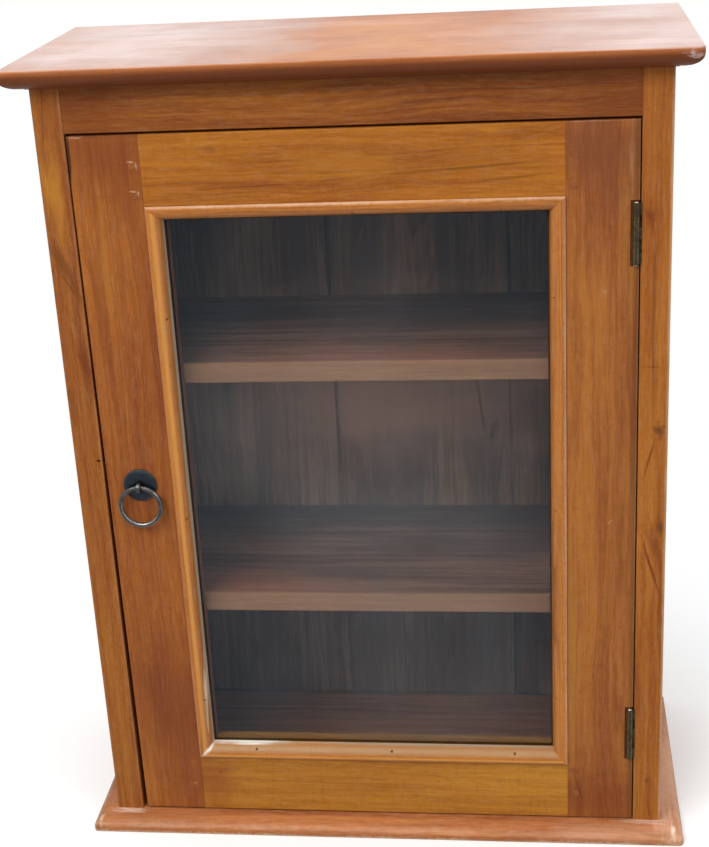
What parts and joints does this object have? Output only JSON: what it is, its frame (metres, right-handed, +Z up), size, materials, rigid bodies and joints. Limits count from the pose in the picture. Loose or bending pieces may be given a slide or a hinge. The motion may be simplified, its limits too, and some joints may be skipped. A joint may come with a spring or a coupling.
{
  "type": "glazed display cabinet",
  "caption": "Small glazed display cabinet with moulded top and base, full-depth shelves and one framed glass door hung on butt hinges, with a ring pull and a hidden magnetic catch.",
  "frame": {"origin": "middle of the underside of the base board, which the case stands on", "axes": "+Z up, the door faces -Y, +X to the right of someone facing the door"},
  "size_m": [0.54, 0.236, 0.705],
  "materials": {
    "board_wood": "satin varnish, worn pale at the edges",
    "carcass_wood": "satin varnish",
    "inside_wood": "dull varnish",
    "door_wood": "satin varnish",
    "bead_wood": "satin varnish, worn along the crest",
    "pane_glass": "clear",
    "hinge_brass": "dulled brass",
    "pull_iron": "dark, rubbed bright at the ring",
    "fixing_steel": "dull steel",
    "catch_plastic": "matte brown",
    "magnet_ferrite": "matte dark grey"
  },
  "bodies": {
    "carcass": {"top_board": "board_wood", "base_board": "board_wood", "side_panel_left": "carcass_wood", "side_panel_right": "carcass_wood", "frieze_rail": "carcass_wood", "back_board_left": "inside_wood", "back_board_middle": "inside_wood", "back_board_right": "inside_wood", "shelf_upper": "inside_wood", "shelf_lower": "inside_wood", "top_dowels": "carcass_wood", "base_screws": "fixing_steel", "back_nails": "fixing_steel", "hinge_lower_side_leaf": "hinge_brass", "hinge_upper_side_leaf": "hinge_brass", "hinge_pins": "hinge_brass", "hinge_screws_side": "hinge_brass", "catch_housing": "catch_plastic", "catch_magnet": "magnet_ferrite", "catch_pole_plates": "fixing_steel", "catch_screws": "fixing_steel"},
    "door": {"door_stile_latch": "door_wood", "door_stile_hinge": "door_wood", "door_rail_top": "door_wood", "door_rail_bottom": "door_wood", "door_pegs": "door_wood", "glass_pane": "pane_glass", "bead_top": "bead_wood", "bead_bottom": "bead_wood", "bead_left": "bead_wood", "bead_right": "bead_wood", "bead_pins": "fixing_steel", "hinge_lower_door_leaf": "hinge_brass", "hinge_upper_door_leaf": "hinge_brass", "hinge_screws_door": "hinge_brass", "catch_strike_plate": "fixing_steel", "catch_strike_screws": "fixing_steel", "pull_backplate": "pull_iron", "pull_eye": "pull_iron", "pull_washer": "fixing_steel", "pull_nut": "fixing_steel"},
    "pull_ring": {"pull_ring": "pull_iron"}
  },
  "joints": [
    {"name": "door_hinge", "type": "hinge", "parent": "carcass", "child": "door", "pos_m": [0.2222, -0.0995, 0.33175], "axis": [0, 0, 1], "range_deg": [0, 180]},
    {"name": "ring_pivot", "type": "hinge", "parent": "door", "child": "pull_ring", "pos_m": [-0.1947, -0.1046, 0.3459], "axis": [-1, 0, 0], "range_deg": [-6, 186]}
  ]
}
